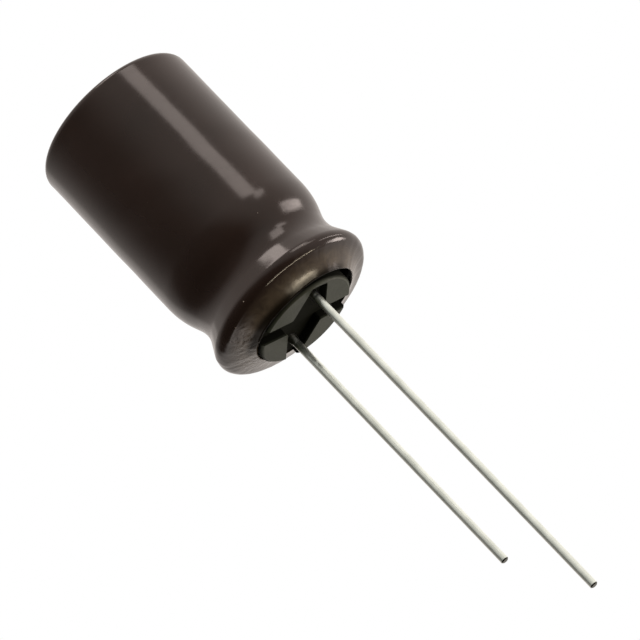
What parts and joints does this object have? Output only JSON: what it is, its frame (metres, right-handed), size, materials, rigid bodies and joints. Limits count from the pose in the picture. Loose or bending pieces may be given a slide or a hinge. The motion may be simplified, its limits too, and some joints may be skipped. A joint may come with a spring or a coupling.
{
  "type": "electrolytic capacitor",
  "caption": "Radial aluminium electrolytic capacitor: beaded can in a dark brown shrunk sleeve, rubber end seal with raised pads, long and short tinned wires.",
  "frame": {"origin": "centre of the closed end, on the plane that the part stands on", "axes": "+Z from the closed end towards the wires; +X from the short wire to the long wire"},
  "size_m": [0.0132, 0.0132, 0.0508],
  "materials": {
    "sleeve_film": "glossy dark brown heat-shrink film",
    "aluminium": "drawn, satin",
    "rubber": "matte moulded rubber",
    "tinned_wire": "bright tinned",
    "wound_paper": "paper and foil soaked in electrolyte",
    "tape": "thin polyester tape"
  },
  "bodies": {
    "root": {"sleeve": "sleeve_film", "can": "aluminium", "seal": "rubber", "anode_wire": "tinned_wire", "cathode_wire": "tinned_wire", "anode_terminal": "aluminium", "cathode_terminal": "aluminium", "winding": "wound_paper", "winding_tape": "tape"}
  },
  "joints": []
}
